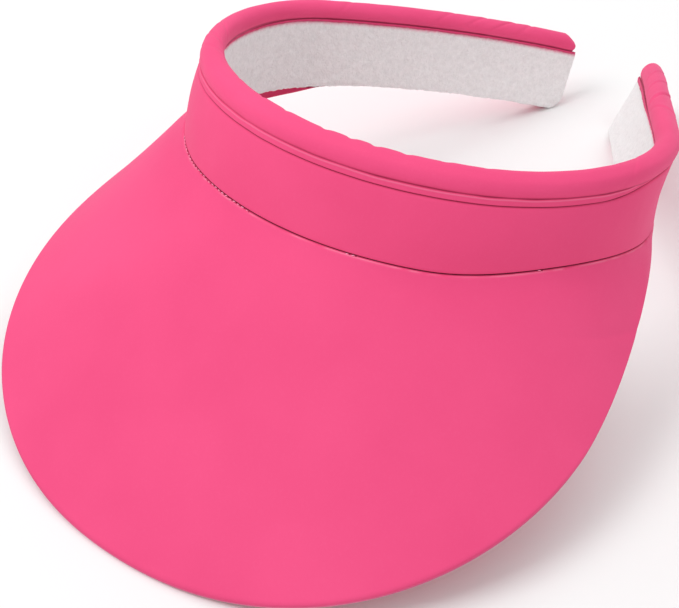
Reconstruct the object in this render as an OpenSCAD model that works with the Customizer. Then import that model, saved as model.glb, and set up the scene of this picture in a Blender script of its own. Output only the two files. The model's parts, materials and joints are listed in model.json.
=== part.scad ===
// Clip-on sun visor: a wide curved brim on an open, padded head band.
// The visor rests on the front edge of the brim and the lower corners of the two arm tips.
// Millimetres. +Z is up, the front of the brim faces -Y, the wearer's left is +X.
// The origin is on the resting plane, under the middle of the whole visor.

/* [Head band] */
// Radius of the band's curve across the forehead
forehead_radius = 97; // [80:1:120]
// Length of the forehead curve, from the middle to one side
forehead_len = 50.5; // [35:0.5:70]
// Radius of the band's curve around each temple
temple_radius = 76; // [60:1:95]
// Length of the curve around each temple
temple_len = 116.5; // [95:0.5:125]
// Straight length at the end of each arm
arm_len = 128; // [80:1:150]
// How far the arm tips droop below the front of the band
tip_droop = 50; // [0:1:70]
// How far the band wall slopes forward for each millimetre down
wall_slope = 0.3; // [0:0.02:0.5]
// How far the band wall flares outward for each millimetre down
wall_flare = 0.027; // [0:0.001:0.08]
// Height of the arms below the middle of the roll
arm_depth = 29.6; // [24:0.1:36]
// Extra depth of the sweatband behind the brim seam
front_extra_depth = 4.4; // [0:0.1:8]
// Radius of the rounded lower corner at each arm tip
tip_corner = 6; // [2:0.5:10]

/* [Roll] */
// Radius of the covered roll along the top edge
roll_radius = 4.6; // [3.5:0.1:6]
// Thickness of the fabric tube around the roll's cord
roll_cover_t = 1.1; // [0.6:0.1:1.6]
// Height of the flat flange strip that shows under the roll
flange_h = 2.3; // [1.5:0.1:3.5]
// Thickness of the flange strip
flange_t = 0.8; // [0.5:0.1:1.2]
// Distance from the middle to where the flange runs out
flange_len = 118; // [80:1:140]

/* [Band layers] */
// Offset of the band cover's outer face from the middle of the roll
cover_out = 3.9; // [3:0.1:5]
// Thickness of the band cover fabric
cover_t = 0.9; // [0.5:0.1:1.5]
// How far the padded cover bulges out at mid height
panel_bulge = 0.8; // [0:0.1:1.5]
// Thickness of the springy plastic strip
strip_t = 0.9; // [0.6:0.1:1.5]
// Height of the springy plastic strip
strip_h = 17; // [12:0.5:20]
// Thickness of the terry sweatband
terry_t = 2.4; // [1.5:0.1:3.5]
// Depth of the brim seam below the middle of the roll, at the front
seam_depth = 29; // [24:0.5:34]
// How far the brim seam climbs at the temples
seam_climb = 3; // [0:0.5:6]

/* [Brim] */
// How far the brim reaches in front of the middle of the roll
brim_reach = 98.8; // [70:0.2:120]
// How far the brim stands out beyond each side of the band
brim_overhang = 29; // [18:0.5:40]
// Where the brim is widest, behind the middle of the roll at the front
brim_wide_y = 3.7; // [-10:0.1:20]
// Angle of the brim below level along its middle line
brim_angle = 45.8; // [25:0.1:55]
// Roundness of the brim's front edge, 2 is an ellipse
brim_round = 2.1; // [1.8:0.05:2.6]
// Sideways curvature of the brim at the seam, per millimetre
brim_curve = 0.0102; // [0.004:0.0001:0.012]
// Flattening of the brim's curvature far from the middle, in parts of a ten-millionth
brim_flatten = 0.76; // [0:0.02:1]
// How fast the brim's curvature fades toward the front edge, per millimetre
curve_fade = 0.0106; // [0:0.0002:0.02]
// Thickness of the brim's stiffening board
board_t = 1.6; // [1:0.1:2.5]
// Thickness of the fabric on each side of the brim
brim_cover_t = 0.7; // [0.4:0.1:1]
// Inset of the board from the brim's finished edge
board_inset = 2.5; // [1.5:0.1:5]
// Distance from the brim seam to the board
board_start = 1.2; // [0.5:0.1:3]

/* [Stitching] */
// Distance from one stitch of the brim seam to the next
stitch_pitch = 2.2; // [2:0.1:5]
// Length of one visible stitch
stitch_len = 1.3; // [0.8:0.1:1.8]
// Radius of the sewing thread
thread_radius = 0.2; // [0.1:0.05:0.4]

/* [Flexing arms] */
// Distance from the end of the temple curve to the line where each arm flexes
flex_offset = 20; // [12:1:40]
// Gap between the front and each arm along the flex line
flex_gap = 0.9; // [0.7:0.05:1.5]

/* [Hidden] */
fit = 0.1;                        // clearance between neighbouring layers
half_len = forehead_len + temple_len + arm_len;
bend_len = forehead_len + temple_len;
turn_1 = forehead_len / forehead_radius * 180 / PI;
turn_2 = turn_1 + temple_len / temple_radius * 180 / PI;
flex_s = bend_len + flex_offset;  // arc length from the middle to the flex line
tail_s = flex_s - 6;              // arc length from the middle to each end of the brim
climb_from = 0.26 * flex_s;       // where the brim seam starts and stops climbing, and comes back down
climb_to = 0.51 * flex_s;
climb_back = 0.53 * flex_s;
climb_end = 0.85 * flex_s;
roll_top = -roll_radius - fit;    // top of the layers that sit right under the roll
core_r = roll_radius - roll_cover_t - fit;
foam_out = cover_out - cover_t - fit;
strip_out = strip_t / 2;
foam_in = strip_out + fit;
terry_out = -strip_t / 2 - fit;
terry_in = terry_out - terry_t;
strip_drop = 2.5;                  // depth of the strip's top edge under the roll
strip_top = roll_top - strip_drop;
function roll_underside(off) = -sqrt(max(0, pow(roll_radius, 2) - pow(off, 2)));
flange_top = roll_underside(cover_out) - 3 * fit;
flange_bottom = flange_top - flange_h;
cover_low_top = flange_bottom - fit;
cover_high_top = roll_underside(cover_out - cover_t) - 2.5 * fit;
band_half_w = forehead_radius * sin(turn_1) + temple_radius * (1 - sin(turn_1));
brim_half_w = band_half_w + brim_overhang;
brim_root_y = -cover_out - (wall_slope + wall_flare) * seam_depth;
brim_fit = 0.15;                  // clearance between the board and its covers
stack_t = 2 * brim_cover_t + board_t + 2 * brim_fit;
edge_t = 2 * brim_cover_t + fit;
tail_drop = 3;                    // width of the brim where it ends on the band
tail_out = 0.7;
edge_draw_w = 3.4;                // width over which the covers draw together
board_share = 0.93;               // the board stops a little before each end of the brim
board_edge_t = 0.7;               // the board is thinned along its edge
wide_share = 0.57;                // share of the seam that belongs to the front half of the outline
flange_taper = 16;                // length over which each end of the flange narrows
flange_end_share = 0.55;          // share of the flange's height left at its ends
flange_min_h = 0.2;               // least height of the flange's inner face
k_level = 2;                      // softness of the brim's levelling towards its ends
settle_from = 0.6;                // share of the seam where the brim leaves its smooth surface
settle_to = 0.9;
tail_curve = 1.675;               // how the brim's outline curves in to the band at each end
tail_pace = 0.85;
seam_step = 1.7;                  // depth at which the lower cover is sewn in behind the seam
stitch_share = 0.82;              // share of the seam that shows its stitches
stitch_offset = 1.2;              // distance from the seam to the stitch line
tip_extra = 0.4;                  // the roll's cover closes this far past each arm tip
tip_round = 0.7;                  // how much narrower its end is
tip_closing = 1.3;                // length over which the cover fills the roll's end
tip_bore = 0.3;
cord_stop = 2.8;                  // the cord stops this far before each arm tip
foam_stop = 1;
strip_stop = 4;
fold_round = 0.3;                 // how much the fold at each tip is rounded off
normal_step = 0.01;               // steps for measuring the brim's normal and direction
along_step = 0.003;
tip_wall = 0.9;                   // thickness of the fabric folded over each arm tip
front_steps = 42;
arm_steps = 11;
brim_steps = 44;
ring_steps = 16;

function smooth(a, b, t) = let (u = min(1, max(0, (t - a) / (b - a)))) u * u * (3 - 2 * u);
function spread(a, b, n) = [for (i = [0:n]) a + (b - a) * i / n];

// Heading of the band's plan curve, and its point, at a distance t from the middle.
function heading(t) = t < forehead_len ? t / forehead_radius * 180 / PI
    : turn_1 + min(temple_len, t - forehead_len) / temple_radius * 180 / PI;
function plan(t) = let (a = heading(t), e = max(0, t - bend_len))
    t < forehead_len ? [forehead_radius * sin(a), forehead_radius * (1 - cos(a))]
    : [forehead_radius * sin(turn_1) + temple_radius * (sin(a) - sin(turn_1)) + e * cos(turn_2),
       forehead_radius * (1 - cos(turn_1)) + temple_radius * (cos(turn_1) - cos(a)) + e * sin(turn_2)];

// A point of the band: s along the band from the middle, off outward and z up from the roll's middle.
function wall(s, off, z) = let (t = abs(s), g = s < 0 ? -1 : 1, a = heading(t), p = plan(t),
        o = off - wall_flare * z)
    [g * (p.x + sin(a) * o), p.y - cos(a) * o + wall_slope * z, z - tip_droop * pow(t / half_len, 2)];

function seam_z(s) = let (t = abs(s)) -seam_depth + seam_climb * smooth(climb_from, climb_to, t)
    - (seam_climb + arm_depth - seam_depth) * smooth(climb_back, climb_end, t);
function corner_rise(s) = let (d = max(0, min(tip_corner, abs(s) - half_len + tip_corner)))
    tip_corner - sqrt(pow(tip_corner, 2) - d * d);
function band_low(s) = -arm_depth - front_extra_depth * (1 - smooth(climb_back, flex_s - 2, abs(s)))
    + corner_rise(s);
function bulge(z) = panel_bulge * sin(180 * min(1, max(0, (z - roll_top) / (roll_top + seam_depth) * -1)));

// Height of the brim's smooth surface over a point of the plan.
function brim_z(x, y) = let (d = y - brim_root_y) -seam_depth + tan(brim_angle) * d
    - (brim_curve * x * x / 2 - brim_flatten * 1e-7 * pow(x, 4)) * exp(curve_fade * d);
tail_point = wall(tail_s, cover_out + tail_out, seam_z(tail_s) - tail_drop);
function outline_xy(f) = f < wide_share
    ? let (a = 90 * f / wide_share) [brim_half_w * pow(sin(a), 2 / brim_round),
        brim_wide_y - (brim_wide_y + brim_reach) * pow(max(0, cos(a)), 2 / brim_round)]
    : let (u = pow((f - wide_share) / (1 - wide_share), tail_pace))
        [brim_half_w - (brim_half_w - tail_point.x) * pow(u, tail_curve),
         brim_wide_y + (tail_point.y - brim_wide_y) * u];
function level_off(z, top, k) = top - k * ln(1 + exp((top - z) / k));
function outline(g) = let (f = abs(g), p = outline_xy(f), top = tail_point.z + k_level * ln(2))
    [sign(g) * p.x, p.y, f == 1 ? tail_point.z : level_off(brim_z(p.x, p.y), top, k_level)];
// A point of the brim's top surface: g runs from tail to tail, v from the seam to the outline.
function brim_flat(g, v) = let (a = wall(g * tail_s, cover_out, seam_z(g * tail_s)), b = outline(g),
        p = a * (1 - v) + b * v, w = 1 - smooth(settle_from, settle_to, abs(g)))
    [p.x, p.y, p.z + w * (brim_z(p.x, p.y) - brim_z(a.x, a.y) * (1 - v) - brim_z(b.x, b.y) * v)];
function unit(v) = v / norm(v);
function brim_normal(g, v) = let (h = normal_step, g0 = max(-1, g - h), g1 = min(1, g + h),
        v0 = max(0, v - h), v1 = min(1, v + h))
    unit(cross(brim_flat(g1, v) - brim_flat(g0, v), brim_flat(g, v1) - brim_flat(g, v0)));
function brim_width(g) = norm(brim_flat(g, 1) - brim_flat(g, 0));
// The same point sunk by depth d below the top surface.
function brim_point(g, v, d) = brim_flat(g, v) + brim_normal(g, v) * d;

// Rows of the brim, as shares of the width from the seam to the outline.
row_shares = [0, 0.12, 0.3, 0.5, 0.7, 0.85];
draw_share = 0.35;                // least share of the last gap kept before the covers draw together
function brim_rows(g, first, last) = let (w = brim_width(g), a = first / w, b = 1 - last / w,
        near = a + row_shares[5] * (b - a))
    [for (u = row_shares) a + u * (b - a),
        max(near + draw_share * (b - near), b - edge_draw_w / w), b];
// Depth share of the edge: the two covers draw together over the last rows.
edge_draw = [0, 0, 0, 0, 0, 0, 0.25, 1];

// Resting pose: the brim's front edge and the arm tips' lower corners share the plane z = 0.
front_low = brim_point(0, 1, edge_t + (stack_t - edge_t) / 2);
tip_edge = [for (k = [0:12]) let (s = half_len - k) wall(s, cover_out, band_low(s))];
rest_tilt = min([for (p = tip_edge) atan((p.z - front_low.z) / (p.y - front_low.y))]);
function tilt_y(p) = p.y * cos(rest_tilt) + p.z * sin(rest_tilt);
function tilt_z(p) = p.z * cos(rest_tilt) - p.y * sin(rest_tilt);
rear_y = max([for (a = [0:10:350]) tilt_y(wall(half_len + tip_extra,
    roll_radius * cos(a), roll_radius * sin(a)))]);
front_y = tilt_y(brim_point(0, 1, (stack_t - edge_t) / 2));
rest_shift = [0, -(rear_y + front_y) / 2, -tilt_z(front_low)];

// Which piece to draw, or all of them

front_stations = spread(-flex_s + flex_gap / 2, flex_s - flex_gap / 2, front_steps);
function arm_side(side, end) = let (a = flex_s + flex_gap / 2, m = half_len - tip_corner,
        t = concat(spread(a, m, arm_steps), [for (k = [0.3, 0.55, 0.75, 0.9, 1]) m + k * (end - m)]))
    side > 0 ? t : [for (i = [len(t) - 1:-1:0]) -t[i]];

module rest() translate(rest_shift) rotate([-rest_tilt, 0, 0]) children();

// A closed skin through loops of points that follow one another.
// Each loop is an outer edge followed by the matching inner edge taken backward.
module skin(loops) {
    n = len(loops[0]);
    m = len(loops);
    k = n / 2;
    last = (m - 1) * n;
    sides = [for (i = [0:m - 2], j = [0:n - 1]) let (a = i * n + j, b = i * n + (j + 1) % n)
        each [[a, b, b + n], [a, b + n, a + n]]];
    caps = [for (j = [0:k - 2]) let (a = j, b = j + 1, c = n - 2 - j, d = n - 1 - j)
        each [[a, c, b], [a, d, c], [last + a, last + b, last + c], [last + a, last + c, last + d]]];
    rest() polyhedron([for (r = loops) each r], concat(sides, caps));
}

// A tube: outer and inner rings of the same count at every station.
module tube(outer, inner) {
    n = len(outer[0]);
    m = len(outer);
    base = m * n;
    last = (m - 1) * n;
    faces = [for (i = [0:m - 2], j = [0:n - 1]) let (a = i * n + j, b = i * n + (j + 1) % n)
        each [[a, b, b + n], [a, b + n, a + n],
              [base + a, base + b + n, base + b], [base + a, base + a + n, base + b + n]]];
    ends = [for (j = [0:n - 1]) let (a = j, b = (j + 1) % n)
        each [[a, base + b, b], [a, base + a, base + b],
              [last + a, last + b, base + last + b], [last + a, base + last + b, base + last + a]]];
    rest() polyhedron(concat([for (r = outer) each r], [for (r = inner) each r]), concat(faces, ends));
}

// A layer of the band: rails(s) gives matching outer and inner lists of [off, z].
module layer(stations, rails)
    skin([for (s = stations) let (r = rails(s), o = r[0], i = r[1], n = len(o))
        concat([for (p = o) wall(s, p[0], p[1])], [for (j = [n - 1:-1:0]) wall(s, i[j][0], i[j][1])])]);

module slab(stations, top, low, out, in)
    layer(stations, function (s) [[for (z = [top(s), low(s)]) [out, z]], [for (z = [top(s), low(s)]) [in, z]]]);

function ring(s, r) = [for (j = [0:ring_steps - 1]) let (a = -360 * j / ring_steps)
    wall(s, r * cos(a), r * sin(a))];

module roll_cover(stations, radii, bores)
    tube([for (i = [0:len(stations) - 1]) ring(stations[i], radii[i])],
         [for (i = [0:len(stations) - 1]) ring(stations[i], bores[i])]);

module roll_cord(stations) {
    n = ring_steps;
    m = len(stations);
    last = (m - 1) * n;
    sides = [for (i = [0:m - 2], j = [0:n - 1]) let (a = i * n + j, b = i * n + (j + 1) % n)
        each [[a, b, b + n], [a, b + n, a + n]]];
    ends = [for (j = [1:n - 2]) each [[0, j + 1, j], [last, last + j, last + j + 1]]];
    rest() polyhedron([for (s = stations) each ring(s, core_r)], concat(sides, ends));
}

// One layer of the brim between two depths, with other depths where the edge draws together.
module brim_layer(reach, first, last, top, low, top_edge, low_edge)
    skin([for (g = spread(-1, 1, brim_steps)) if (abs(g) <= reach)
        let (v = brim_rows(g, first, last), n = len(v))
        concat([for (i = [0:n - 1]) brim_point(g, v[i], top + (top_edge - top) * edge_draw[i])],
               [for (i = [n - 1:-1:0]) brim_point(g, v[i], low + (low_edge - low) * edge_draw[i])])]);

module brim_board() color([0.92, 0.92, 0.9])
    brim_layer(board_share, board_start, board_inset, brim_cover_t + brim_fit,
        stack_t - brim_cover_t - brim_fit, (stack_t - board_edge_t) / 2, (stack_t + board_edge_t) / 2);

module brim_top_cover() color([0.93, 0.32, 0.5]) {
    draw = (stack_t - edge_t) / 2;
    brim_layer(1, 0, 0, 0, brim_cover_t, draw, draw + brim_cover_t);
}

// The lower cover starts behind the seam, under the band, where it meets the sweatband.
module brim_under_cover() color([0.9, 0.3, 0.48]) {
    draw = (stack_t + edge_t) / 2;
    top = stack_t - brim_cover_t;
    skin([for (g = spread(-1, 1, brim_steps)) let (v = brim_rows(g, 0, 0), n = len(v), s = g * tail_s,
            z = seam_z(s))
        concat([wall(s, terry_out + fit, z - seam_step)],
            [for (i = [0:n - 1]) brim_point(g, v[i], top + (draw - brim_cover_t - top) * edge_draw[i])],
            [for (i = [n - 1:-1:0]) brim_point(g, v[i], stack_t + (draw - stack_t) * edge_draw[i])],
            [wall(s, terry_out + fit, z - seam_step - brim_cover_t)])]);
}

module brim_seam_stitches() color([0.98, 0.62, 0.72]) {
    count = floor(stitch_share * tail_s / stitch_pitch);
    for (k = [-count:count]) {
        g = k * stitch_pitch / tail_s;
        v = stitch_offset / brim_width(g);
        up = brim_normal(g, v);
        p = brim_flat(g, v) - up * (thread_radius + fit / 2);
        g0 = g - along_step;
        g1 = g + along_step;
        along = unit(brim_flat(g1, stitch_offset / brim_width(g1))
            - brim_flat(g0, stitch_offset / brim_width(g0)));
        side = unit(cross(along, up));
        third = cross(side, along);
        rest() multmatrix([[side.x, third.x, along.x, p.x], [side.y, third.y, along.y, p.y],
            [side.z, third.z, along.z, p.z], [0, 0, 0, 1]])
            cylinder(h = stitch_len, r = thread_radius, center = true, $fn = 12);
    }
}

function cover_top(s) = cover_low_top + (cover_high_top - cover_low_top)
    * smooth(flange_len - flange_taper / 3, flange_len + flange_taper / 2, abs(s));

module band_cover_front() color([0.93, 0.33, 0.51])
    layer(front_stations, function (s) let (zs = spread(cover_top(s), seam_z(s) + fit, 5))
        [[for (z = zs) [cover_out + bulge(z), z]], [for (z = zs) [cover_out - cover_t + bulge(z), z]]]);

module band_foam_front() color([0.95, 0.93, 0.85])
    layer(front_stations, function (s) let (zs = spread(roll_top, seam_z(s) + fit, 5))
        [[for (z = zs) [foam_out + bulge(z), z]], [for (z = zs) [foam_in, z]]]);

module spring_strip_front() color([0.97, 0.97, 0.97])
    slab(front_stations, function (s) strip_top, function (s) strip_top - strip_h, strip_out, -strip_out);

module sweatband_front() color([0.9, 0.89, 0.89])
    slab(front_stations, function (s) roll_top, function (s) band_low(s), terry_out, terry_in);

module roll_cover_front() color([0.94, 0.34, 0.52])
    roll_cover(front_stations, [for (s = front_stations) roll_radius],
        [for (s = front_stations) core_r + fit]);

module roll_cord_front() color([0.95, 0.94, 0.9]) roll_cord(front_stations);

// The flange is a flat strip whose top follows the underside of the roll.
module roll_flange() color([0.9, 0.3, 0.47])
    layer(spread(-flange_len, flange_len, 32), function (s)
        let (end = smooth(0, flange_taper, flange_len - abs(s)),
             low = flange_top - flange_h * (flange_end_share + (1 - flange_end_share) * end),
             inner_top = roll_underside(cover_out - flange_t) - 2 * fit)
        [[[cover_out, flange_top], [cover_out, low]], [[cover_out - flange_t, inner_top],
            [cover_out - flange_t, min(low, inner_top - flange_min_h)]]]);

// Arms: side is 1 for the wearer's left and -1 for the right.
module band_cover_arm(side) color([0.93, 0.33, 0.51])
    layer(arm_side(side, half_len), function (s)
        let (low = band_low(s), zs = spread(cover_high_top, low + cover_t, 5))
        [concat([for (z = zs) [cover_out + bulge(z), z]], [[cover_out - 0.2, low], [terry_out + fit, low]]),
         concat([for (z = zs) [cover_out - cover_t + bulge(z), z]],
            [[cover_out - cover_t - 0.05, low + cover_t], [terry_out + fit, low + cover_t]])]);

module band_foam_arm(side) color([0.95, 0.93, 0.85])
    layer(arm_side(side, half_len - foam_stop), function (s)
        let (zs = spread(roll_top, band_low(s) + cover_t + fit, 5))
        [[for (z = zs) [foam_out + bulge(z), z]], [for (z = zs) [foam_in, z]]]);

module spring_strip_arm(side) color([0.97, 0.97, 0.97])
    slab(arm_side(side, half_len - strip_stop), function (s) strip_top, function (s) strip_top - strip_h,
        strip_out, -strip_out);

module sweatband_arm(side) color([0.9, 0.89, 0.89])
    slab(arm_side(side, half_len), function (s) roll_top, function (s) band_low(s), terry_out, terry_in);

function tip_ends(s, body, end) = abs(s) > half_len - tip_extra ? end : body;
module roll_cover_arm(side) color([0.94, 0.34, 0.52]) {
    t = arm_side(side, half_len + tip_extra);
    roll_cover(t, [for (s = t) tip_ends(s, roll_radius, roll_radius - tip_round)],
        [for (s = t) abs(s) > half_len - tip_closing ? tip_bore : core_r + fit]);
}

module roll_cord_arm(side) color([0.95, 0.94, 0.9])
    roll_cord(arm_side(side, half_len - cord_stop));

// The fold closes the end of the arm from the cover to the sweatband.
module tip_fold(side) color([0.91, 0.3, 0.48]) {
    a = half_len + fit;
    b = a + tip_wall;
    ss = side > 0 ? [a, b] : [-b, -a];
    layer(ss, function (s) let (zs = spread(cover_high_top - 1.2, -arm_depth + tip_corner + 0.4, 5),
            k = abs(s) > half_len + tip_wall / 2 ? fold_round : 0)
        [[for (z = zs) [cover_out + bulge(z) - k, z]], [for (z = zs) [terry_in + k, z]]]);
}

brim_board();
brim_top_cover();
brim_under_cover();
brim_seam_stitches();
band_cover_front();
band_foam_front();
spring_strip_front();
sweatband_front();
roll_cover_front();
roll_cord_front();
roll_flange();
band_cover_arm(1);  // band_cover_left
band_foam_arm(1);  // band_foam_left
spring_strip_arm(1);  // spring_strip_left
sweatband_arm(1);  // sweatband_left
roll_cover_arm(1);  // roll_cover_left
roll_cord_arm(1);  // roll_cord_left
tip_fold(1);  // tip_fold_left
band_cover_arm(-1);  // band_cover_right
band_foam_arm(-1);  // band_foam_right
spring_strip_arm(-1);  // spring_strip_right
sweatband_arm(-1);  // sweatband_right
roll_cover_arm(-1);  // roll_cover_right
roll_cord_arm(-1);  // roll_cord_right
tip_fold(-1);  // tip_fold_right
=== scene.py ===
import json
import math

import bpy
import numpy as np
from mathutils import Matrix, Vector


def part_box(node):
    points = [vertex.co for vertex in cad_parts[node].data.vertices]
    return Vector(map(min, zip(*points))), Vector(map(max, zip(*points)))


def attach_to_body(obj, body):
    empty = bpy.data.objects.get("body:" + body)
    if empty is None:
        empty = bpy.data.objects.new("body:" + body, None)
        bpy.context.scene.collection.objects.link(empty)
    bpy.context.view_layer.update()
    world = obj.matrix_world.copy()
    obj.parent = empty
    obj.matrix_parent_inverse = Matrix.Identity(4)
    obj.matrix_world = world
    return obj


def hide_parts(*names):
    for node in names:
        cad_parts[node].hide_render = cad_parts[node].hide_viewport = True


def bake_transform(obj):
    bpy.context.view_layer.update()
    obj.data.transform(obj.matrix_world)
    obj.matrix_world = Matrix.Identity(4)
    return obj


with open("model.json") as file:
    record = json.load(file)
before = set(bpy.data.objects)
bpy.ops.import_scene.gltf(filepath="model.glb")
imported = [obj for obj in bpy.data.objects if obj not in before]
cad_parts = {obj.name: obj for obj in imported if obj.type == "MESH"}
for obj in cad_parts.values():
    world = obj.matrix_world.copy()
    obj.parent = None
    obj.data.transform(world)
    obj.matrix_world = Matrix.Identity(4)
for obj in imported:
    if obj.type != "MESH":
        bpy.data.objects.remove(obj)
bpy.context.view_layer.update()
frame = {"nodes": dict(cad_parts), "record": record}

RNG = np.random.default_rng(7)

# ---------------------------------------------------------------- the band's shape, millimetres
R_FRONT, L_FRONT = 97.0, 50.5          # forehead curve: radius and half length
R_SIDE, L_SIDE = 76.0, 116.5           # temple curve: radius and length
L_ARM = 128.0                          # straight end of each arm
BEND = L_FRONT + L_SIDE                # where the arms turn straight
HALF = BEND + L_ARM                    # half the band's length
FLEX_S = BEND + 20.0                   # the hinge that stands in for the strip
TAIL_S = FLEX_S - 6.0                  # where the brim's tail ends
DROOP, SLOPE, FLARE = 50.0, 0.3, 0.027
BAND_DEPTH = 30.0                      # depth that lean and spread are measured over
LEAN, LEAN_FROM, LEAN_TO = 6.4, 172.0, 236.0      # the left arm leans in at its lower edge
SPREAD, SPREAD_FROM = 2.3, 200.0                  # and stands out at the roll
LEAN_LIMIT, LEAN_CURVE = 1.15, 1.2
ROLL_R = 4.6
ARM_DEPTH, EXTRA_DEPTH, CORNER = 29.6, 4.4, 6.0
DEEP_TO = 0.53                         # share of the hinge's place where the terry stops being deeper
COVER_OUT = 3.9
TERRY_OUT, TERRY_IN = -0.55, -2.95
SEAM_DEPTH, SEAM_CLIMB = 29.0, 3.0
CLIMB_FROM, CLIMB_TO = 0.26, 0.51      # shares of the hinge's place where the seam climbs
MEET_FROM, MEET_TO = 0.53, 0.85        # and where it runs out to the arm's lower edge
FLANGE_TOP, FLANGE_LOW, FLANGE_LEN = -2.75, -5.05, 118.0
REACH, WIDE_Y, ROUND = 98.8, 3.7, 2.1
BRIM_SIDE = 29.0                       # how far the brim is wider than the band on each side
ANGLE = math.radians(45.8)
CURVE, FLATTEN, FADE = 0.0102, 0.76e-7, 0.0106
BRIM_T = 3.3
TAIL_OUT, TAIL_DROP = 0.7, 3.0
TAIL_PACE, TAIL_CURVE, TAIL_SOFT = 0.85, 1.675, 2.0
BLEND_FROM, BLEND_TO = 0.6, 0.9        # where the bowl gives way to straight lines to the tail
BLEND_AT = 150.0                       # where a skin stops being part of the stiff front
BEND_HALF = 26.0                       # a length on each side of the hinge, used only for arm points that nothing reads
BEND_Z = -15.0                         # at the middle of the band's height
TIP_ROUND, TIP_ROWS = 8.0, 13          # rows lie closer together over this last length

TURN_1 = L_FRONT / R_FRONT
TURN_2 = TURN_1 + L_SIDE / R_SIDE
HALF_W = R_FRONT * math.sin(TURN_1) + R_SIDE * (1 - math.sin(TURN_1))
BRIM_W = HALF_W + BRIM_SIDE


def smooth(a, b, t):
    u = np.clip((np.asarray(t, float) - a) / (b - a), 0, 1)
    return u * u * (3 - 2 * u)


def plan(s):
    """Point and outward normal of the band's plan curve at arc length s from the middle."""
    t, g = np.abs(s), np.where(np.asarray(s) < 0, -1.0, 1.0)
    a = np.where(t < L_FRONT, t / R_FRONT, TURN_1 + np.clip(t - L_FRONT, 0, L_SIDE) / R_SIDE)
    e = np.maximum(t - BEND, 0)
    x = np.where(t < L_FRONT, R_FRONT * np.sin(a),
                 R_FRONT * math.sin(TURN_1) + R_SIDE * (np.sin(a) - math.sin(TURN_1)))
    y = np.where(t < L_FRONT, R_FRONT * (1 - np.cos(a)),
                 R_FRONT * (1 - math.cos(TURN_1)) + R_SIDE * (math.cos(TURN_1) - np.cos(a)))
    return g * (x + e * math.cos(TURN_2)), y + e * math.sin(TURN_2), g * np.sin(a), -np.cos(a)


def wall(s, off, z):
    """A point of the band: off outward and z up from the middle of the roll."""
    s, off, z = np.broadcast_arrays(np.asarray(s, float), off, z)
    x, y, nx, ny = plan(s)
    lean = LEAN * smooth(LEAN_FROM, LEAN_TO, s) * np.clip(-z / BAND_DEPTH, 0, LEAN_LIMIT) ** LEAN_CURVE
    spread = SPREAD * smooth(SPREAD_FROM, HALF, s) * (1 + np.clip(z / BAND_DEPTH, -LEAN_LIMIT, 0))
    o = off - FLARE * z - lean + spread
    return np.stack([x + nx * o, y + ny * o + SLOPE * z, z - DROOP * (s / HALF) ** 2], -1)


def seam_z(s):
    t = np.abs(s)
    return (-SEAM_DEPTH + SEAM_CLIMB * smooth(CLIMB_FROM * FLEX_S, CLIMB_TO * FLEX_S, t)
            - (SEAM_CLIMB + ARM_DEPTH - SEAM_DEPTH) * smooth(MEET_FROM * FLEX_S, MEET_TO * FLEX_S, t))


def band_low(s):
    """Lower edge of the terry and of the arms, with its rounded corner at the tip."""
    t = np.abs(s)
    d = np.clip(t - HALF + CORNER, 0, CORNER)
    return (-ARM_DEPTH - EXTRA_DEPTH * (1 - smooth(DEEP_TO * FLEX_S, FLEX_S - 2, t))
            + CORNER - np.sqrt(CORNER ** 2 - d * d))


BRIM_ROOT = -COVER_OUT - (SLOPE + FLARE) * SEAM_DEPTH
TAIL = wall(TAIL_S, COVER_OUT + TAIL_OUT, seam_z(TAIL_S) - TAIL_DROP)
SHARE = 0.57                           # share of the rim that is the round front


def brim_z(x, y):
    d = y - BRIM_ROOT
    return (-SEAM_DEPTH + math.tan(ANGLE) * d
            - (CURVE * x * x / 2 - FLATTEN * x ** 4) * np.exp(FADE * d))


def outline(g):
    """The brim's rim, g from -1 to 1."""
    f, sg = np.abs(g), np.sign(g)
    a = np.clip(f / SHARE, 0, 1) * math.pi / 2
    u = np.clip((f - SHARE) / (1 - SHARE), 0, 1) ** TAIL_PACE
    front = f < SHARE
    x = np.where(front, BRIM_W * np.sin(a) ** (2 / ROUND), BRIM_W - (BRIM_W - TAIL[0]) * u ** TAIL_CURVE)
    y = np.where(front, WIDE_Y - (WIDE_Y + REACH) * np.maximum(np.cos(a), 0) ** (2 / ROUND),
                 WIDE_Y + (TAIL[1] - WIDE_Y) * u)
    top = TAIL[2] + TAIL_SOFT * math.log(2)
    z = top - TAIL_SOFT * np.log1p(np.exp((top - brim_z(x, y)) / TAIL_SOFT))
    z = np.where(f > 0.999, TAIL[2], z)
    return np.stack([sg * x, y, z], -1)


def brim_flat(g, v):
    """The brim's top face before any cloth shape: v from the seam (0) to the rim (1)."""
    g, v = np.broadcast_arrays(np.asarray(g, float), v)
    s = g * TAIL_S
    a, b = wall(s, COVER_OUT, seam_z(s)), outline(g)
    p = a * (1 - v[..., None]) + b * v[..., None]
    w = 1 - smooth(BLEND_FROM, BLEND_TO, np.abs(g))
    p[..., 2] += w * (brim_z(p[..., 0], p[..., 1]) - brim_z(a[..., 0], a[..., 1]) * (1 - v)
                      - brim_z(b[..., 0], b[..., 1]) * v)
    return p


def unit(v):
    return v / np.maximum(np.linalg.norm(v, axis=-1, keepdims=True), 1e-12)


def brim_normal(g, v):
    """Unit normal on the brim's under side."""
    h = 0.01
    g0, g1 = np.maximum(g - h, -1), np.minimum(g + h, 1)
    v0, v1 = np.maximum(v - h, 0), np.minimum(v + h, 1)
    return unit(np.cross(brim_flat(g1, v) - brim_flat(g0, v), brim_flat(g, v1) - brim_flat(g, v0)))


def brim_surface(g, v, depth):
    return brim_flat(g, v) + brim_normal(g, v) * depth[..., None]


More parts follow.
